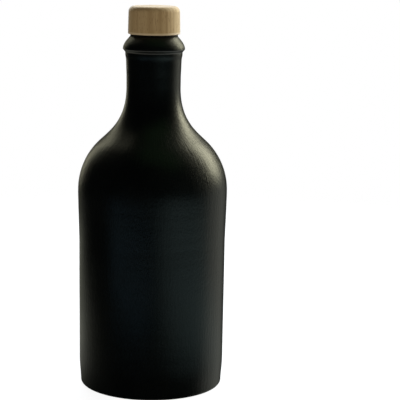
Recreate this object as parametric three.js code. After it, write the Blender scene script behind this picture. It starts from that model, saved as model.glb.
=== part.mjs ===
// A stoppered stoneware oil bottle: a straight, slightly swelling body with round shoulders, a slim neck
// with a domed collar under the mouth, and a turned beech head that closes it.
// Millimetres, +Z up. The origin is the centre of the foot, on the surface the bottle stands on.
import * as THREE from "three";

// Driving sizes
const BODY_DIAMETER = 82.3; // at the swelling under the shoulder, where the bottle is widest
const LIP_HEIGHT = 195.4; // foot to mouth rim
const HEAD_DIAMETER = 28.5; // of the stopper's wooden head
const HEAD_HEIGHT = 15.1;

// Foot and heel
const FOOT_RADIUS = 39.4;
const FOOT_EDGE = 1.8; // rounding between foot and wall
const FOOT_RING_WIDTH = 4.4; // flat ring that the bottle stands on
const FOOT_RECESS = 1.3; // how far the underside is raised inside that ring
const RECESS_RUN = 3.2; // length of the soft step up into the recess
const HEEL_RADIUS = 40.15;
const HEEL_HEIGHT = 14.5;
const HEEL_SPREAD = 0.15; // how far the wall spreads as it leaves the foot

// Wall, swelling and shoulder
const BELLY_RADIUS = 40.45;
const BELLY_HEIGHT = 80;
const SWELL_SOFTNESS = 6; // how gently the wall bends into the swelling
const SWELL_HEIGHT = 109.7;
const SHOULDER_RADIUS = 37; // of the arc that the shoulder turns through
const SHOULDER_TURN = THREE.MathUtils.degToRad(46.2);

// Neck
const NECK_RADIUS = 14.8; // at its waist
const NECK_WAIST_HEIGHT = 166.5;
const NECK_FOOT_PULL = 8; // how far the shoulder's slope carries on into the neck's curve
const NECK_WAIST_PULL = 18.3;
const FLARE_RADIUS = 15.13; // where the neck starts to widen towards the collar
const FLARE_HEIGHT = 181.2;
const FLARE_SLOPE = 0.033; // outwards for each millimetre of height
const FLARE_PULL = 8;

// Band under the collar, collar and mouth rim
const BAND_RADIUS = 15.63;
const BAND_HEIGHT = 185.1;
const BAND_PULL = 2;
const COLLAR_RADIUS = 16.93;
const COLLAR_HEIGHT = 187.45; // where the collar is widest
const COLLAR_EDGE = 0.65; // rounding of its lower edge
const COLLAR_UNDERSIDE = THREE.MathUtils.degToRad(50); // slope of its underside
const COLLAR_HOLLOW = 0.35; // reach of the hollow rounding between band and underside
const DOME_RISE = 3; // how steeply the dome starts above the collar's edge
const DOME_RADIUS = 13.2; // where it ends against the rim
const DOME_HEIGHT = 194;
const DOME_SLOPE = THREE.MathUtils.degToRad(65); // of its last stretch
const DOME_PULL = 0.5;
const LIP_RADIUS = 12.95;
const LIP_FOOT = 0.35; // height of the hollow between dome and rim
const LIP_EDGE = 0.3;

// Stopper head
const HEAD_TAPER = 0.25; // how much narrower in radius the head is at its top
const HEAD_TOP_EDGE = 3;
const HEAD_BOTTOM_EDGE = 0.6;

// Fineness: sides round the axis, and steps along each stretch of profile
const BOTTLE_SIDES = 72;
const HEAD_SIDES = 48;
const EDGE_STEPS = 4;
const FOOT_STEPS = 5;
const SWELL_STEPS = 7;
const SHOULDER_STEPS = 12;
const NECK_STEPS = 12;
const DOME_STEPS = 9;
const HEAD_STEPS = 6;

// Finishes
const GLAZE = { color: 0x0d0f0e, roughness: 0.33, metalness: 0 };
const BEECH = { color: 0xb99a6c, roughness: 0.7, metalness: 0 };

const point = (r, z) => new THREE.Vector2(r, z);

// The points of a cubic curve, pulled from its start and end.
function bend(start, pullStart, pullEnd, end, steps) {
  return new THREE.CubicBezierCurve(start, pullStart, pullEnd, end).getPoints(steps);
}

// A quarter or less of a circle in the profile plane, angles from the r axis towards the z axis.
function arc(centreR, centreZ, radius, from, to, steps) {
  const clockwise = to < from;
  return new THREE.EllipseCurve(centreR, centreZ, radius, radius, from, to, clockwise).getPoints(steps);
}

// Joins stretches of profile, dropping points that repeat the one before.
function joined(...stretches) {
  const tooClose = 1e-3;
  return stretches.flat().filter((p, i, all) => i === 0 || p.distanceTo(all[i - 1]) > tooClose);
}

// Underside: a raised centre, a soft step down and the flat foot ring, then the rounded edge.
function foot() {
  const ringOuter = FOOT_RADIUS - FOOT_EDGE;
  const ringInner = ringOuter - FOOT_RING_WIDTH;
  const recessEdge = ringInner - RECESS_RUN;
  return joined(
    [point(0, FOOT_RECESS)],
    bend(
      point(recessEdge, FOOT_RECESS),
      point(recessEdge + RECESS_RUN / 2, FOOT_RECESS),
      point(ringInner - RECESS_RUN / 2, 0),
      point(ringInner, 0),
      FOOT_STEPS,
    ),
    arc(ringOuter, FOOT_EDGE, FOOT_EDGE, -Math.PI / 2, 0, FOOT_STEPS),
  );
}

// Heel, near-straight wall and the swelling below the shoulder.
function wall() {
  const third = (HEEL_HEIGHT - FOOT_EDGE) / 3;
  const lean = (BELLY_RADIUS - HEEL_RADIUS) / (BELLY_HEIGHT - HEEL_HEIGHT);
  const widest = BODY_DIAMETER / 2;
  return joined(
    bend(
      point(FOOT_RADIUS, FOOT_EDGE),
      point(FOOT_RADIUS + HEEL_SPREAD, FOOT_EDGE + third),
      point(HEEL_RADIUS - lean * third, HEEL_HEIGHT - third),
      point(HEEL_RADIUS, HEEL_HEIGHT),
      FOOT_STEPS,
    ),
    bend(
      point(BELLY_RADIUS, BELLY_HEIGHT),
      point(BELLY_RADIUS + lean * SWELL_SOFTNESS, BELLY_HEIGHT + SWELL_SOFTNESS),
      point(widest, SWELL_HEIGHT - SWELL_SOFTNESS),
      point(widest, SWELL_HEIGHT),
      SWELL_STEPS,
    ),
  );
}

// Shoulder arc, then the hollow curve that carries it up into the neck's waist.
function shoulder() {
  const centreR = BODY_DIAMETER / 2 - SHOULDER_RADIUS;
  const turned = arc(centreR, SWELL_HEIGHT, SHOULDER_RADIUS, 0, SHOULDER_TURN, SHOULDER_STEPS);
  const end = turned[turned.length - 1];
  const slope = point(-Math.sin(SHOULDER_TURN), Math.cos(SHOULDER_TURN));
  return joined(
    turned,
    bend(
      end,
      end.clone().addScaledVector(slope, NECK_FOOT_PULL),
      point(NECK_RADIUS, NECK_WAIST_HEIGHT - NECK_WAIST_PULL),
      point(NECK_RADIUS, NECK_WAIST_HEIGHT),
      NECK_STEPS,
    ),
  );
}

// The neck above its waist, widening slowly and then faster into the band under the collar.
function flare() {
  return joined(
    bend(
      point(NECK_RADIUS, NECK_WAIST_HEIGHT),
      point(NECK_RADIUS, NECK_WAIST_HEIGHT + FLARE_PULL),
      point(FLARE_RADIUS - FLARE_SLOPE * FLARE_PULL, FLARE_HEIGHT - FLARE_PULL),
      point(FLARE_RADIUS, FLARE_HEIGHT),
      EDGE_STEPS,
    ),
    bend(
      point(FLARE_RADIUS, FLARE_HEIGHT),
      point(FLARE_RADIUS + FLARE_SLOPE * BAND_PULL, FLARE_HEIGHT + BAND_PULL),
      point(BAND_RADIUS, BAND_HEIGHT - BAND_PULL),
      point(BAND_RADIUS, BAND_HEIGHT),
      EDGE_STEPS,
    ),
  );
}

// The collar's hollow and slanting underside, its rounded edge and the dome up to the mouth rim.
function collar() {
  const lowest = COLLAR_UNDERSIDE - Math.PI / 2;
  const edge = arc(COLLAR_RADIUS - COLLAR_EDGE, COLLAR_HEIGHT, COLLAR_EDGE, lowest, 0, EDGE_STEPS);
  const out = point(Math.cos(COLLAR_UNDERSIDE), Math.sin(COLLAR_UNDERSIDE));
  const corner = edge[0].clone().addScaledVector(out, (BAND_RADIUS - edge[0].x) / out.x);
  const hollow = new THREE.QuadraticBezierCurve(
    point(corner.x, corner.y - COLLAR_HOLLOW),
    corner,
    corner.clone().addScaledVector(out, COLLAR_HOLLOW),
  );
  return joined(
    hollow.getPoints(EDGE_STEPS),
    edge,
    bend(
      point(COLLAR_RADIUS, COLLAR_HEIGHT),
      point(COLLAR_RADIUS, COLLAR_HEIGHT + DOME_RISE),
      point(DOME_RADIUS + DOME_PULL * Math.cos(DOME_SLOPE), DOME_HEIGHT - DOME_PULL * Math.sin(DOME_SLOPE)),
      point(DOME_RADIUS, DOME_HEIGHT),
      DOME_STEPS,
    ),
  );
}

// The short upright rim that the stopper's head sits on.
function mouthRim() {
  return joined(
    [point(LIP_RADIUS, DOME_HEIGHT + LIP_FOOT)],
    arc(LIP_RADIUS - LIP_EDGE, LIP_HEIGHT - LIP_EDGE, LIP_EDGE, 0, Math.PI / 2, EDGE_STEPS),
    [point(0, LIP_HEIGHT)],
  );
}

function bottle() {
  const profile = joined(foot(), wall(), shoulder(), flare(), collar(), mouthRim());
  return turnedPiece("bottle", profile, BOTTLE_SIDES, GLAZE);
}

// The head of the stopper: a slightly tapered disc with a wide top rounding and a narrow one below.
function stopperHead() {
  const wide = HEAD_DIAMETER / 2 - HEAD_BOTTOM_EDGE;
  const narrow = HEAD_DIAMETER / 2 - HEAD_TAPER - HEAD_TOP_EDGE;
  const profile = joined(
    [point(0, 0)],
    arc(wide, HEAD_BOTTOM_EDGE, HEAD_BOTTOM_EDGE, -Math.PI / 2, 0, HEAD_STEPS),
    arc(narrow, HEAD_HEIGHT - HEAD_TOP_EDGE, HEAD_TOP_EDGE, 0, Math.PI / 2, HEAD_STEPS),
    [point(0, HEAD_HEIGHT)],
  );
  const head = turnedPiece("stopper_head", profile, HEAD_SIDES, BEECH);
  head.position.z = LIP_HEIGHT;
  return head;
}

// Turns a profile of (radius, height) points round the Z axis.
function turnedPiece(name, profile, sides, finish) {
  const geometry = new THREE.LatheGeometry(profile, sides);
  geometry.rotateX(Math.PI / 2); // the lathe turns round Y
  const mesh = new THREE.Mesh(geometry, new THREE.MeshStandardMaterial(finish));
  mesh.name = name;
  return mesh;
}

const group = new THREE.Group();
group.add(bottle(), stopperHead());

export default group;
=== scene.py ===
"""Looks of a stoppered stoneware oil bottle: satin black glaze, beech head, floor and light."""

import math

import bpy
from mathutils import Matrix, Vector, noise


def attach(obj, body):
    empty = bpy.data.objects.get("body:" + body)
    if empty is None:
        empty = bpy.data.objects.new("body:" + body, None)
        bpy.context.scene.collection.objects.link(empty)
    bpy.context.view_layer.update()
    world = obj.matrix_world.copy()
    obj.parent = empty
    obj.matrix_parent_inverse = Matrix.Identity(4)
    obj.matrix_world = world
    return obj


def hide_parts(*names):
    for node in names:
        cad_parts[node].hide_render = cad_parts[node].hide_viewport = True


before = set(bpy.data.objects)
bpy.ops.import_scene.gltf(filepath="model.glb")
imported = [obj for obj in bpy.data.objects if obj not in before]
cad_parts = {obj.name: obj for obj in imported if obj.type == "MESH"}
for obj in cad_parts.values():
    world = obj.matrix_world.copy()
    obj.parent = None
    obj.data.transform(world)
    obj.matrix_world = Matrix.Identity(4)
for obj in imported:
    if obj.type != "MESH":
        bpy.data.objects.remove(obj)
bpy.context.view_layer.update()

MM = 0.001

# Camera: where it stands, how it is turned and how much it takes in
CAMERA_PLACE = Vector((0.0, -826.98, 254.73)) * MM
CAMERA_PITCH = math.radians(10.336)  # looking down
CAMERA_YAW = math.radians(1.825)  # towards +X
CAMERA_ROLL = math.radians(0.875)
CAMERA_SENSOR = 36.0
CAMERA_LENS = 136.34
CAMERA_REACH = (0.05, 20)  # metres, the nearest and farthest it sees

# The outline's driving sizes in millimetres, those of the CAD solids
BODY_RADIUS = 41.15
LIP_HEIGHT = 195.4
FOOT_RADIUS = 39.4
FOOT_EDGE = 1.8
FOOT_RING_WIDTH = 4.4
FOOT_RECESS = 1.3
RECESS_RUN = 3.2
HEEL_RADIUS = 40.15
HEEL_HEIGHT = 14.5
HEEL_SPREAD = 0.15
BELLY_RADIUS = 40.45
BELLY_HEIGHT = 80.0
SWELL_SOFTNESS = 6.0
SWELL_HEIGHT = 109.7
SHOULDER_RADIUS = 37.0
SHOULDER_TURN = math.radians(46.2)
NECK_RADIUS = 14.8
NECK_WAIST_HEIGHT = 166.5
NECK_FOOT_PULL = 8.0
NECK_WAIST_PULL = 18.3
FLARE_RADIUS = 15.13
FLARE_HEIGHT = 181.2
FLARE_SLOPE = 0.033
FLARE_PULL = 8.0
BAND_RADIUS = 15.63
BAND_HEIGHT = 185.1
BAND_PULL = 2.0
COLLAR_RADIUS = 16.93
COLLAR_HEIGHT = 187.45
COLLAR_EDGE = 0.65
COLLAR_UNDERSIDE = math.radians(50)
COLLAR_HOLLOW = 0.35
DOME_RISE = 3.0
DOME_RADIUS = 13.2
DOME_HEIGHT = 194.0
DOME_SLOPE = math.radians(65)
DOME_PULL = 0.5
LIP_RADIUS = 12.95
LIP_FOOT = 0.35
LIP_EDGE = 0.3
HEAD_RADIUS = 14.25
HEAD_HEIGHT = 15.1
HEAD_TAPER = 0.25
HEAD_TOP_EDGE = 3.0
HEAD_BOTTOM_EDGE = 0.6

# Unevenness of the fired body, in millimetres
OUT_OF_ROUND = 0.04
OVAL_TURN = 0.6  # radians, which way the slight oval lies
DENT_DEPTH = 0.05
DENT_SIZE = 24.0
RIPPLE_DEPTH = 0.008
RIPPLE_LENGTH = 7.0
RIPPLE_WANDER = 1.5  # radians, how far the ripples stray from even rings
WANDER_FINENESS = 0.7  # against that of the dents
UNEVEN_FROM = (1, 12)  # heights over which the unevenness grows above the foot
UNEVEN_TO = (183, 190)  # and over which it ends towards the mouth

# Fineness of the meshes
BOTTLE_SIDES = 256
HEAD_SIDES = 192
OUTLINE_STEP = 0.9  # millimetres, the longest step along an outline
CURVE_STEPS = 10  # the fewest steps along a curve
CURVE_LENGTH = 1.2  # of a cubic curve at most, against the straight line between its ends
SAME_POINT = 1e-6  # points nearer than this are one


# Outlines

def bezier(a, b, c, d):
    """Points of a cubic curve, each (radius, height)."""
    points = []
    steps = max(CURVE_STEPS, math.ceil(CURVE_LENGTH * math.dist(a, d) / OUTLINE_STEP))
    for i in range(steps + 1):
        t = i / steps
        s = 1 - t
        weights = (s * s * s, 3 * s * s * t, 3 * s * t * t, t * t * t)
        pulls = list(zip(weights, (a, b, c, d)))
        points.append(tuple(sum(w * p[k] for w, p in pulls) for k in (0, 1)))
    return points


def arc(centre, radius, start, end):
    """Points of a circle's arc, angles in radians from the radius axis towards the height axis."""
    steps = max(CURVE_STEPS, math.ceil(abs(end - start) * radius / OUTLINE_STEP))
    angles = [start + (end - start) * i / steps for i in range(steps + 1)]
    return [(centre[0] + radius * math.cos(a), centre[1] + radius * math.sin(a)) for a in angles]


def joined(*stretches):
    """One outline from several stretches, with long steps divided and repeated points dropped."""
    outline = []
    for point in (p for stretch in stretches for p in stretch):
        if outline:
            last = outline[-1]
            length = math.dist(last, point)
            if length < SAME_POINT:
                continue
            parts = math.ceil(length / OUTLINE_STEP)
            for i in range(1, parts):
                outline.append(tuple(last[k] + (point[k] - last[k]) * i / parts for k in (0, 1)))
        outline.append(point)
    return outline


def foot():
    """A raised middle, a soft step down, the flat ring and its rounded edge."""
    ring_outer = FOOT_RADIUS - FOOT_EDGE
    ring_inner = ring_outer - FOOT_RING_WIDTH
    recess = ring_inner - RECESS_RUN
    return [
        [(0, FOOT_RECESS)],
        bezier(
            (recess, FOOT_RECESS),
            (recess + RECESS_RUN / 2, FOOT_RECESS),
            (ring_inner - RECESS_RUN / 2, 0),
            (ring_inner, 0),
        ),
        arc((ring_outer, FOOT_EDGE), FOOT_EDGE, -math.pi / 2, 0),
    ]


def wall():
    """The heel, the near-straight wall and the swelling under the shoulder."""
    third = (HEEL_HEIGHT - FOOT_EDGE) / 3
    lean = (BELLY_RADIUS - HEEL_RADIUS) / (BELLY_HEIGHT - HEEL_HEIGHT)
    return [
        bezier(
            (FOOT_RADIUS, FOOT_EDGE),
            (FOOT_RADIUS + HEEL_SPREAD, FOOT_EDGE + third),
            (HEEL_RADIUS - lean * third, HEEL_HEIGHT - third),
            (HEEL_RADIUS, HEEL_HEIGHT),
        ),
        bezier(
            (BELLY_RADIUS, BELLY_HEIGHT),
            (BELLY_RADIUS + lean * SWELL_SOFTNESS, BELLY_HEIGHT + SWELL_SOFTNESS),
            (BODY_RADIUS, SWELL_HEIGHT - SWELL_SOFTNESS),
            (BODY_RADIUS, SWELL_HEIGHT),
        ),
    ]


def shoulder_and_neck():
    """The shoulder's arc, the hollow curve up to the neck's waist and the widening above it."""
    centre = (BODY_RADIUS - SHOULDER_RADIUS, SWELL_HEIGHT)
    shoulder = arc(centre, SHOULDER_RADIUS, 0, SHOULDER_TURN)
    end = shoulder[-1]
    inwards = NECK_FOOT_PULL * math.sin(SHOULDER_TURN)
    upwards = NECK_FOOT_PULL * math.cos(SHOULDER_TURN)
    return [
        shoulder,
        bezier(
            end,
            (end[0] - inwards, end[1] + upwards),
            (NECK_RADIUS, NECK_WAIST_HEIGHT - NECK_WAIST_PULL),
            (NECK_RADIUS, NECK_WAIST_HEIGHT),
        ),
        bezier(
            (NECK_RADIUS, NECK_WAIST_HEIGHT),
            (NECK_RADIUS, NECK_WAIST_HEIGHT + FLARE_PULL),
            (FLARE_RADIUS - FLARE_SLOPE * FLARE_PULL, FLARE_HEIGHT - FLARE_PULL),
            (FLARE_RADIUS, FLARE_HEIGHT),
        ),
        bezier(
            (FLARE_RADIUS, FLARE_HEIGHT),
            (FLARE_RADIUS + FLARE_SLOPE * BAND_PULL, FLARE_HEIGHT + BAND_PULL),
            (BAND_RADIUS, BAND_HEIGHT - BAND_PULL),
            (BAND_RADIUS, BAND_HEIGHT),
        ),
    ]


def collar_and_rim():
    """The collar's hollow, slanting underside and rounded edge, the dome and the upright rim."""
    lowest = COLLAR_UNDERSIDE - math.pi / 2
    edge = arc((COLLAR_RADIUS - COLLAR_EDGE, COLLAR_HEIGHT), COLLAR_EDGE, lowest, 0)
    out = (math.cos(COLLAR_UNDERSIDE), math.sin(COLLAR_UNDERSIDE))
    corner = (BAND_RADIUS, edge[0][1] + (BAND_RADIUS - edge[0][0]) * out[1] / out[0])
    hollow_end = (corner[0] + COLLAR_HOLLOW * out[0], corner[1] + COLLAR_HOLLOW * out[1])
    outwards = DOME_PULL * math.cos(DOME_SLOPE)
    downwards = DOME_PULL * math.sin(DOME_SLOPE)
    return [
        bezier((corner[0], corner[1] - COLLAR_HOLLOW), corner, corner, hollow_end),
        edge,
        bezier(
            (COLLAR_RADIUS, COLLAR_HEIGHT),
            (COLLAR_RADIUS, COLLAR_HEIGHT + DOME_RISE),
            (DOME_RADIUS + outwards, DOME_HEIGHT - downwards),
            (DOME_RADIUS, DOME_HEIGHT),
        ),
        [(LIP_RADIUS, DOME_HEIGHT + LIP_FOOT)],
        arc((LIP_RADIUS - LIP_EDGE, LIP_HEIGHT - LIP_EDGE), LIP_EDGE, 0, math.pi / 2),
        [(0, LIP_HEIGHT)],
    ]


def bottle_outline():
    """The bottle's outline from the middle of its underside to the middle of its mouth."""
    return joined(*foot(), *wall(), *shoulder_and_neck(), *collar_and_rim())


def head_outline():
    """The stopper head's outline from the middle of its underside to the middle of its top."""
    wide = HEAD_RADIUS - HEAD_BOTTOM_EDGE
    narrow = HEAD_RADIUS - HEAD_TAPER - HEAD_TOP_EDGE
    top = LIP_HEIGHT + HEAD_HEIGHT
    return joined(
        [(0, LIP_HEIGHT)],
        arc((wide, LIP_HEIGHT + HEAD_BOTTOM_EDGE), HEAD_BOTTOM_EDGE, -math.pi / 2, 0),
        arc((narrow, top - HEAD_TOP_EDGE), HEAD_TOP_EDGE, 0, math.pi / 2),
        [(0, top)],
    )


def new_object(name, data):
    """An object of the scene."""
    made = bpy.data.objects.new(name, data)
    bpy.context.scene.collection.objects.link(made)
    return made


def turned_piece(name, outline, sides, shape=None):
    """A mesh turned from an outline round the Z axis; shape moves each point first."""
    points = []
    faces = []
    rings = outline[1:-1]
    for radius, height in rings:
        for i in range(sides):
            angle = 2 * math.pi * i / sides
            r, z = shape(radius, height, angle) if shape else (radius, height)
            points.append((r * math.cos(angle) * MM, r * math.sin(angle) * MM, z * MM))
    for row in range(len(rings) - 1):
        for i in range(sides):
            a = row * sides + i
            b = row * sides + (i + 1) % sides
            faces.append((a, b, b + sides, a + sides))
    low = len(points)
    points.append((0, 0, outline[0][1] * MM))
    points.append((0, 0, outline[-1][1] * MM))
    last = (len(rings) - 1) * sides
    for i in range(sides):
        faces.append((low, (i + 1) % sides, i))
        faces.append((low + 1, last + i, last + (i + 1) % sides))
    mesh = bpy.data.meshes.new(name)
    mesh.from_pydata(points, [], faces)
    mesh.polygons.foreach_set("use_smooth", [True] * len(mesh.polygons))
    mesh.update()
    return new_object(name, mesh)


def smooth_step(low, high, value):
    """0 below low, 1 above high, and an even bend between."""
    t = min(max((value - low) / (high - low), 0), 1)
    return t * t * (3 - 2 * t)


def fired(radius, height, angle):
    """Moves a point of the bottle by the slight unevenness that throwing and firing leave."""
    free = smooth_step(*UNEVEN_FROM, height) * (1 - smooth_step(*UNEVEN_TO, height))
    place = Vector((radius * math.cos(angle), radius * math.sin(angle), height)) / DENT_SIZE
    dent = DENT_DEPTH * noise.noise(place)
    wander = RIPPLE_WANDER * noise.noise(place * WANDER_FINENESS)
    ripple = RIPPLE_DEPTH * math.sin(2 * math.pi * height / RIPPLE_LENGTH + wander)
    oval = OUT_OF_ROUND * math.cos(2 * angle + OVAL_TURN)
    return radius + free * (dent + ripple + oval), height


# Materials

def new_material(name):
    """A material without nodes."""
    material = bpy.data.materials.new(name)
    material.use_nodes = True
    material.node_tree.nodes.clear()
    return material


def add(tree, kind, inputs=None, **settings):
    """Adds a node; inputs are numbers, colours or the sockets to link from."""
    made = tree.nodes.new(kind)
    for key, value in settings.items():
        setattr(made, key, value)
    for key, value in (inputs or {}).items():
        if isinstance(value, bpy.types.NodeSocket):
            tree.links.new(value, made.inputs[key])
        else:
            made.inputs[key].default_value = value
    return made


def object_place(tree):
    """The place on the object, in metres."""
    return add(tree, "ShaderNodeTexCoord").outputs["Object"]


def height_of(tree, place):
    """How high a place is, in metres."""
    return add(tree, "ShaderNodeSeparateXYZ", {0: place}).outputs["Z"]


def length_of(tree, place):
    """How far a place is from the origin."""
    return add(tree, "ShaderNodeVectorMath", {0: place}, operation="LENGTH").outputs["Value"]


def vector_maths(tree, operation, *places):
    """One place from one or two by arithmetic."""
    inputs = dict(enumerate(places))
    return add(tree, "ShaderNodeVectorMath", inputs, operation=operation).outputs["Vector"]


def stretched(tree, place, scale):
    """A place scaled along each axis."""
    return add(tree, "ShaderNodeMapping", {"Vector": place, "Scale": scale}).outputs["Vector"]


def noise_value(tree, place, scale=1.0, detail=2.0, roughness=0.5):
    """Soft noise from 0 to 1."""
    inputs = {"Vector": place, "Scale": scale, "Detail": detail, "Roughness": roughness}
    return add(tree, "ShaderNodeTexNoise", inputs).outputs["Fac"]


def ranged(tree, value, low, high, to_low, to_high, smooth=False):
    """A value taken from one range to another, held at its ends."""
    kind = "SMOOTHSTEP" if smooth else "LINEAR"
    inputs = {"Value": value, "From Min": low, "From Max": high}
    inputs |= {"To Min": to_low, "To Max": to_high}
    return add(tree, "ShaderNodeMapRange", inputs, interpolation_type=kind).outputs["Result"]


def maths(tree, operation, a, b=0.0):
    """One number from one or two by arithmetic."""
    return add(tree, "ShaderNodeMath", {0: a, 1: b}, operation=operation).outputs[0]


def mixed(tree, factor, first, second):
    """One number between two."""
    return add(tree, "ShaderNodeMix", {0: factor, 2: first, 3: second}).outputs[0]


def blended(tree, factor, first, second):
    """One colour between two."""
    inputs = {0: factor, 6: first, 7: second}
    return add(tree, "ShaderNodeMix", inputs, data_type="RGBA").outputs[2]


def bumped(tree, height, depth, normal=None, strength=1.0):
    """A surface normal bent by a height given from 0 to 1, of a depth in millimetres."""
    inputs = {"Height": height, "Distance": depth * MM, "Strength": strength}
    if normal is not None:
        inputs["Normal"] = normal
    return add(tree, "ShaderNodeBump", inputs).outputs["Normal"]


def finish_surface(tree, inputs):
    """Ends a material with one surface."""
    surface = add(tree, "ShaderNodeBsdfPrincipled", inputs).outputs[0]
    add(tree, "ShaderNodeOutputMaterial", {"Surface": surface})


NOISE_SPAN = (0.3, 0.7)  # most of a noise's values lie between these

# Glaze: colours, roughness, heights and depths in millimetres, then waves of noise in a metre
# and the span of its values that is used
GLAZE_DARK = (0.0004, 0.0009, 0.0008, 1)
GLAZE_LIGHT = (0.0012, 0.0021, 0.0020, 1)
# painted highlight: the colour of the light lines that stand in for the table's reflection under
# the collar
GLAZE_PAINTED_HIGHLIGHT = (0.056, 0.060, 0.060, 1)
RIM_DARK = (0.0030, 0.0016, 0.0010, 1)  # the mouth rim is dry
CLAY_DARK = (0.20, 0.155, 0.115, 1)
CLAY_LIGHT = (0.34, 0.28, 0.215, 1)

GLAZE_ROUGHNESS = 0.33
GLAZE_PATCHINESS = 0.02  # how far the roughness wanders from patch to patch
GLAZE_GRAININESS = 0.03  # and from grain to grain
MOUTH_DULLNESS = 0.09  # how much rougher the glaze is round the mouth
RIM_ROUGHNESS = 0.8
CLAY_ROUGHNESS = 0.92
GLAZE_IOR = 1.5

PAINTED_HIGHLIGHT_LINES = ((187.1, 0.35), (185.75, 0.45))  # height and reach of the painted highlight lines on the collar's lower edge and in the hollow under it
HIGHLIGHT_FULL_SHARE = 0.4  # share of that reach over which the painted highlight is at full strength
MOUTH_DULL_FROM = 180
MOUTH_DULL_TO = 183
RIM_EDGE = 0.1  # half the step from glaze to dry rim
BARE_TO = 0.12  # bare clay up to here
GLAZED_FROM = 0.40  # and glaze from here
BARE_WANDER = 0.3  # how far that edge wanders up and down
RUNS_DEPTH = 0.08
RUNS_FULL_TO = 140  # the runs fade out above this height
RUNS_FAINT_FROM = 160
RUNS_FAINT = 0.15  # what is left of them on the neck
SKIN_DEPTH = 0.08
GRAIN_DEPTH = 0.02

CLOUD_WAVES = 55
SKIN_WAVES = 650
GRAIN_WAVES = 1900
BARE_WAVES = 260
RUNS_WAVES = 1000
RUNS_LENGTH = 10  # how much longer than wide the runs are
CLOUD_SPAN = (0.35, 0.65)
GRAIN_SPAN = (0.2, 0.8)


def glaze_colour(tree, height, cloud, rim):
    """Black glaze, lighter in soft clouds, with painted highlight lines on the collar's lower edge
    and in the hollow under it, and the dry rim above it.
    """
    colour = blended(tree, ranged(tree, cloud, *CLOUD_SPAN, 0, 1), GLAZE_DARK, GLAZE_LIGHT)
    # painted highlight lines on the collar's lower edge and in the hollow under it, where the
    # table's reflection shows
    for edge_height, reach in PAINTED_HIGHLIGHT_LINES:
        away = maths(tree, "ABSOLUTE", maths(tree, "SUBTRACT", height, edge_height * MM))
        painted_highlight = ranged(tree, away, HIGHLIGHT_FULL_SHARE * reach * MM, reach * MM, 1, 0, smooth=True)
        colour = blended(tree, painted_highlight, colour, GLAZE_PAINTED_HIGHLIGHT)
    return blended(tree, rim, colour, RIM_DARK)


def glaze_roughness(tree, height, cloud, grain, rim, bare):
    """Satin glaze, duller round the mouth, and dry on the rim and the foot ring."""
    smoothest = GLAZE_ROUGHNESS - GLAZE_PATCHINESS
    roughest = GLAZE_ROUGHNESS + GLAZE_PATCHINESS
    patches = ranged(tree, cloud, *NOISE_SPAN, smoothest, roughest)
    grains = ranged(tree, grain, *GRAIN_SPAN, -GLAZE_GRAININESS, GLAZE_GRAININESS)
    dull = ranged(tree, height, MOUTH_DULL_FROM * MM, MOUTH_DULL_TO * MM, 0, MOUTH_DULLNESS)
    glazed = maths(tree, "ADD", maths(tree, "ADD", patches, grains), dull)
    return mixed(tree, bare, mixed(tree, rim, glazed, RIM_ROUGHNESS), CLAY_ROUGHNESS)


def glaze_runs(tree, place):
    """Noise that goes by the direction from the axis, drawn out from top to bottom."""
    outwards = vector_maths(tree, "NORMALIZE", stretched(tree, place, (1, 1, 0)))
    around = stretched(tree, outwards, (BODY_RADIUS * MM, BODY_RADIUS * MM, 0))
    along = stretched(tree, place, (0, 0, 1 / RUNS_LENGTH))
    return noise_value(tree, vector_maths(tree, "ADD", around, along), RUNS_WAVES)


def glaze_material():
    """Satin black glaze with a fine skin, and bare clay on the ring that the bottle stands on."""
    material = new_material("glaze")
    tree = material.node_tree
    place = object_place(tree)
    height = height_of(tree, place)
    cloud = noise_value(tree, place, CLOUD_WAVES, 3)
    skin = noise_value(tree, place, SKIN_WAVES)
    grain = noise_value(tree, place, GRAIN_WAVES)

    wander = noise_value(tree, place, BARE_WAVES)
    wander = ranged(tree, wander, 0, 1, -BARE_WANDER * MM, BARE_WANDER * MM)
    edge = maths(tree, "ADD", height, wander)
    bare = ranged(tree, edge, BARE_TO * MM, GLAZED_FROM * MM, 1, 0, smooth=True)
    rim_from, rim_to = (DOME_HEIGHT - RIM_EDGE) * MM, (DOME_HEIGHT + RIM_EDGE) * MM
    rim = ranged(tree, height, rim_from, rim_to, 0, 1)

    clay = blended(tree, ranged(tree, grain, *NOISE_SPAN, 0, 1), CLAY_DARK, CLAY_LIGHT)
    colour = blended(tree, bare, glaze_colour(tree, height, cloud, rim), clay)

    fade = ranged(tree, height, RUNS_FULL_TO * MM, RUNS_FAINT_FROM * MM, 1, RUNS_FAINT)
    normal = bumped(tree, glaze_runs(tree, place), RUNS_DEPTH, strength=fade)
    normal = bumped(tree, skin, SKIN_DEPTH, normal)
    normal = bumped(tree, grain, GRAIN_DEPTH, normal)
    finish_surface(
        tree,
        {
            "Base Color": colour,
            "Roughness": glaze_roughness(tree, height, cloud, grain, rim, bare),
            "Normal": normal,
            "IOR": GLAZE_IOR,
        },
    )
    return material


# Beech: colours, how strongly each mark shows, sizes in millimetres, then waves of noise in a
# metre and the span of its values that is used
BEECH_LIGHT = (0.56, 0.42, 0.225, 1)
BEECH_DARK = (0.33, 0.215, 0.088, 1)
BEECH_FLECK = (0.20, 0.110, 0.040, 1)
BEECH_PAINTED_HIGHLIGHT = (0.74, 0.62, 0.42, 1)  # painted highlight along the lower edge, for the light that the table below sends up

BROAD_STRENGTH = 0.55
FIBRE_STRENGTH = 0.45
RING_STRENGTH = 0.42
FLECK_STRENGTH = 0.75
EDGE_HIGHLIGHT_STRENGTH = 0.75
BEECH_ROUGHNESS = (0.55, 0.68)
BEECH_IOR = 1.45
BEECH_SHEEN = 0.35
SHEEN_ROUGHNESS = 0.35

PITH = (21.0, 34.0, 0.0)  # where the tree's heart was, from the head's axis
RING_WIDTH = 2.1
RING_WANDER = 0.8
EDGE_HIGHLIGHT_FULL_TO = 0.7  # above the mouth rim
EDGE_HIGHLIGHT_TO = 1.5
FIBRE_DEPTH = 0.04

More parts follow.
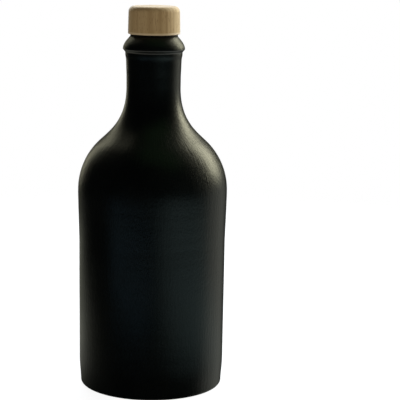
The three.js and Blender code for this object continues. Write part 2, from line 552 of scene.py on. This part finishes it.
# Across the grain both ways, then along it
WARP_WAVES = (90, 90, 25)
FIBRE_WAVES = (1900, 1900, 75)
BROAD_WAVES = (700, 700, 35)
FLECK_WAVES = (2600, 2600, 420)
FIBRE_HARSHNESS = 0.6
FIBRE_SPAN = (0.42, 0.72)
FLECK_SPAN = (0.64, 0.72)
RING_SPAN = (-0.2, 1.0)  # of the wave that makes the rings


def growth_rings(tree, place):
    """Rings round the tree's heart, from 0 between them to 1 on them."""
    from_pith = vector_maths(tree, "SUBTRACT", place, tuple(side * MM for side in PITH))
    distance = length_of(tree, stretched(tree, from_pith, (1, 1, 0)))
    warp = noise_value(tree, stretched(tree, place, WARP_WAVES))
    wander = ranged(tree, warp, 0, 1, -RING_WANDER * MM, RING_WANDER * MM)
    turns = maths(tree, "ADD", distance, wander)
    wave = maths(tree, "SINE", maths(tree, "MULTIPLY", turns, 2 * math.pi / (RING_WIDTH * MM)))
    return ranged(tree, wave, *RING_SPAN, 0, 1)


def beech_material():
    """Plain beech cut along the grain: rings round a heart outside the piece, fibres and flecks,
    and a painted highlight along the lower edge.
    """
    material = new_material("beech")
    tree = material.node_tree
    place = object_place(tree)
    rings = growth_rings(tree, place)
    fibre_place = stretched(tree, place, FIBRE_WAVES)
    fibre = noise_value(tree, fibre_place, detail=3, roughness=FIBRE_HARSHNESS)
    broad = noise_value(tree, stretched(tree, place, BROAD_WAVES), detail=3)
    fleck = noise_value(tree, stretched(tree, place, FLECK_WAVES), detail=1)

    broad = ranged(tree, broad, *NOISE_SPAN, 0, BROAD_STRENGTH)
    streaks = ranged(tree, fibre, *FIBRE_SPAN, 0, FIBRE_STRENGTH)
    rings = maths(tree, "MULTIPLY", rings, RING_STRENGTH)
    flecks = ranged(tree, fleck, *FLECK_SPAN, 0, FLECK_STRENGTH)
    # painted highlight: a pale band along the lower edge, where light from the table below falls
    edge_highlight_full_to, edge_highlight_to = (LIP_HEIGHT + EDGE_HIGHLIGHT_FULL_TO) * MM, (LIP_HEIGHT + EDGE_HIGHLIGHT_TO) * MM
    height = height_of(tree, place)
    pale = ranged(tree, height, edge_highlight_full_to, edge_highlight_to, EDGE_HIGHLIGHT_STRENGTH, 0, smooth=True)
    colour = blended(tree, broad, BEECH_LIGHT, BEECH_DARK)
    colour = blended(tree, streaks, colour, BEECH_DARK)
    colour = blended(tree, rings, colour, BEECH_DARK)
    colour = blended(tree, flecks, colour, BEECH_FLECK)
    colour = blended(tree, pale, colour, BEECH_PAINTED_HIGHLIGHT)
    finish_surface(
        tree,
        {
            "Base Color": colour,
            "Roughness": ranged(tree, fibre, *NOISE_SPAN, *BEECH_ROUGHNESS),
            "Normal": bumped(tree, fibre, FIBRE_DEPTH),
            "IOR": BEECH_IOR,
            "Sheen Weight": BEECH_SHEEN,
            "Sheen Roughness": SHEEN_ROUGHNESS,
        },
    )
    return material


# Pieces

def bottle():
    """The fired and glazed bottle."""
    piece = turned_piece("glazed_bottle", bottle_outline(), BOTTLE_SIDES, fired)
    piece.data.materials.append(glaze_material())
    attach(piece, "root")
    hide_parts("bottle")


def stopper():
    """The stopper's turned head."""
    piece = turned_piece("beech_head", head_outline(), HEAD_SIDES)
    piece.data.materials.append(beech_material())
    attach(piece, "root")
    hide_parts("stopper_head")


# Floor and room

FLOOR_RADIUS = 0.6
FLOOR_CLEAR_RADIUS = 0.35  # from here the floor fades into the white around it
FLOOR_SIDES = 96
FLOOR_GLOW = 0.93
FLOOR_COLOUR = (0.12, 0.12, 0.12, 1)
FLOOR_ROUGHNESS = 0.9
FULL_WHITE = (1, 1, 1, 1)
DIM_COLOUR = (0.9, 0.95, 1, 1)
DIM_STRENGTH = 0.01


def floor():
    """A plain pale round floor that fades into the white room at its rim."""
    angles = [2 * math.pi * i / FLOOR_SIDES for i in range(FLOOR_SIDES)]
    rim = [(FLOOR_RADIUS * math.cos(a), FLOOR_RADIUS * math.sin(a), 0) for a in angles]
    mesh = bpy.data.meshes.new("floor")
    mesh.from_pydata(rim, [], [tuple(range(FLOOR_SIDES))])
    disc = new_object("floor", mesh)
    material = new_material("floor")
    tree = material.node_tree
    distance = length_of(tree, object_place(tree))
    fade = ranged(tree, distance, FLOOR_CLEAR_RADIUS, FLOOR_RADIUS, 0, 1, smooth=True)
    pale = add(
        tree,
        "ShaderNodeBsdfPrincipled",
        {
            "Base Color": FLOOR_COLOUR,
            "Roughness": FLOOR_ROUGHNESS,
            "Emission Color": FULL_WHITE,
            "Emission Strength": FLOOR_GLOW,
        },
    ).outputs[0]
    clear = add(tree, "ShaderNodeBsdfTransparent").outputs[0]
    both = add(tree, "ShaderNodeMixShader", {0: fade, 1: pale, 2: clear}).outputs[0]
    add(tree, "ShaderNodeOutputMaterial", {"Surface": both})
    mesh.materials.append(material)
    disc.visible_diffuse = False
    disc.visible_glossy = False
    disc.visible_shadow = False


def room():
    """White where the camera looks past the floor, and dim as light."""
    world = bpy.data.worlds.new("room")
    bpy.context.scene.world = world
    world.use_nodes = True
    tree = world.node_tree
    tree.nodes.clear()
    seen = add(tree, "ShaderNodeLightPath").outputs["Is Camera Ray"]
    dim, white = (
        add(tree, "ShaderNodeBackground", {"Color": colour, "Strength": strength}).outputs[0]
        for colour, strength in ((DIM_COLOUR, DIM_STRENGTH), (FULL_WHITE, 1.0))
    )
    both = add(tree, "ShaderNodeMixShader", {0: seen, 1: dim, 2: white}).outputs[0]
    add(tree, "ShaderNodeOutputWorld", {"Surface": both})


# Light: azimuths go from the camera's side towards +X, radiance is 1 for a white sheet fully lit

LIGHT_TARGET = Vector((0.0, 0.0, 110.0)) * MM
LIGHT_DISTANCE = 1.5
SOFT_EDGE = 0.3  # share of a light's side over which it falls to nothing
FACING_UP = Matrix.Rotation(math.pi, 4, "X")

# Colours of the light on the wood and the dry clay
DAYLIGHT = (0.92, 1.0, 1.1)
LAMPLIGHT = (1.11, 1.0, 0.84)

# Colours of what the glaze mirrors
WARM = (1.03, 1.0, 0.73)
HAZE = (1.04, 1.0, 0.9)
CEILING_GREEN = (0.5, 1.0, 0.4)
FAR_WALL = (0.98, 1.0, 0.88)
TABLE_COOL = (0.7, 1.0, 1.0)
TABLE_BLUE = (0.6, 1.0, 1.27)
TABLE_WARM = (0.97, 1.0, 0.8)
TABLE_PALE = (1.0, 1.0, 0.93)


def direction(azimuth, elevation):
    """A unit vector; azimuth 0 is the camera's side and 90 is +X."""
    a = math.radians(azimuth)
    e = math.radians(elevation)
    return Vector((math.sin(a) * math.cos(e), -math.cos(a) * math.cos(e), math.sin(e)))


def soften(light):
    """Lets a light fall off evenly towards its sides, as a diffuser does."""
    light.use_nodes = True
    tree = light.node_tree
    tree.nodes.clear()
    place = add(tree, "ShaderNodeNewGeometry").outputs["Parametric"]
    sides = add(tree, "ShaderNodeSeparateXYZ", {0: place}).outputs
    falls = []
    for side in ("X", "Y"):
        from_middle = maths(tree, "ABSOLUTE", maths(tree, "SUBTRACT", sides[side], 0.5))
        falls.append(ranged(tree, from_middle, 0.5 - SOFT_EDGE, 0.5, 1, 0, smooth=True))
    glow = add(tree, "ShaderNodeEmission", {"Strength": maths(tree, "MULTIPLY", *falls)})
    add(tree, "ShaderNodeOutputLight", {"Surface": glow.outputs[0]})


def area_light(name, size, radiance, colour, diffuse, glossy):
    """A flat light, unseen by the camera, of a size in metres and a radiance at its middle."""
    light = bpy.data.lights.new(name, "AREA")
    light.shape = "RECTANGLE"
    light.size, light.size_y = size
    light.energy = radiance * math.pi * size[0] * size[1]
    light.color = colour
    if glossy:
        soften(light)
    lamp = new_object(name, light)
    lamp.visible_camera = False
    lamp.visible_diffuse = diffuse
    lamp.visible_glossy = glossy
    return lamp


def panel(name, azimuth, elevation, wide, high, roll, radiance, colour, glossy):
    """A light that spans wide by high degrees, seen from the bottle, and faces it.

    A glossy one is seen only as a reflection, any other only as light on what isn't glossy.
    """
    size = [2 * LIGHT_DISTANCE * math.tan(math.radians(span / 2)) for span in (wide, high)]
    lamp = area_light(name, size, radiance, colour, not glossy, glossy)
    towards = direction(azimuth, elevation)
    turn = Matrix.Rotation(math.radians(roll), 4, "Z")
    facing = towards.to_track_quat("Z", "Y").to_matrix().to_4x4()
    place = Matrix.Translation(LIGHT_TARGET + towards * LIGHT_DISTANCE)
    lamp.matrix_world = place @ facing @ turn


def reflected(*values):
    """A panel that the glaze mirrors."""
    panel(*values, glossy=True)


def shone(*values):
    """A panel that lights the wood and the dry clay."""
    panel(*values, glossy=False)


def table_sheen(name, place, wide, deep, turn, radiance, colour):
    """The light that a stretch of table sends up, seen only as a reflection in the glaze.

    Overlapping stretches lie at different heights, because a ray counts only one light of
    several in a plane.
    """
    lamp = area_light(name, (wide * MM, deep * MM), radiance, colour, False, True)
    place = Matrix.Translation(Vector(place) * MM)
    turn = Matrix.Rotation(math.radians(turn), 4, "Z")
    lamp.matrix_world = place @ turn @ FACING_UP


def table_bounce(name, wide, radiance, colour):
    """The light that the whole white table sends up onto what isn't glazed."""
    lamp = area_light(name, (wide * MM, wide * MM), radiance, colour, True, False)
    lamp.matrix_world = FACING_UP


def lights():
    """Panels by azimuth, elevation, width, height, roll, radiance; table by place, sizes, turn."""
    reflected("softbox_right", 127, 26, 32, 54, -24, 6.8, WARM)
    reflected("haze_right", 148, 21, 20, 18, 0, 0.5, HAZE)
    reflected("softbox_left", -147, 18, 17, 62, -9, 1.42, WARM)
    reflected("haze_left", -140, 34, 12, 14, 0, 1.2, WARM)
    reflected("upper_left", -120, 57, 22, 12, 0, 0.8, WARM)
    reflected("ceiling", 32, 68, 73, 50, -48, 0.10, CEILING_GREEN)
    reflected("low_back", 121, -22, 69, 66, 101, 0.43, FAR_WALL)
    table_sheen("table_front_right", (254, -240, -1), 690, 520, 78, 0.47, TABLE_COOL)
    table_sheen("table_front_left", (-188, -222, -2), 555, 130, -10, 0.40, TABLE_BLUE)
    table_sheen("table_left", (-150, 236, -3), 620, 340, -64, 0.29, TABLE_WARM)
    table_sheen("table_heel", (-95, 75, -4), 190, 120, -50, 0.12, TABLE_PALE)
    shone("window", 119, 26, 28, 40, 0, 14.0, DAYLIGHT)
    shone("top_back", 180, 38, 40, 26, 0, 20.0, DAYLIGHT)
    shone("fill_left", -70, 15, 60, 45, 0, 0.45, LAMPLIGHT)
    shone("fill_front", 0, 15, 60, 45, 0, 0.22, LAMPLIGHT)
    shone("fill_right", 60, 15, 60, 45, 0, 0.78, LAMPLIGHT)
    table_bounce("table_bounce", 1600, 0.46, LAMPLIGHT)


def camera():
    """The view that the photograph was taken from."""
    data = bpy.data.cameras.new("camera")
    data.sensor_width = CAMERA_SENSOR
    data.lens = CAMERA_LENS
    data.clip_start, data.clip_end = CAMERA_REACH
    seer = new_object("camera", data)
    seer.matrix_world = (
        Matrix.Translation(CAMERA_PLACE)
        @ Matrix.Rotation(-CAMERA_YAW, 4, "Z")
        @ Matrix.Rotation(math.pi / 2 - CAMERA_PITCH, 4, "X")
        @ Matrix.Rotation(CAMERA_ROLL, 4, "Z")
    )
    bpy.context.scene.camera = seer


camera()
bottle()
stopper()
floor()
room()
lights()

settings = bpy.context.scene.view_settings
settings.view_transform = "Standard"
settings.look = "None"
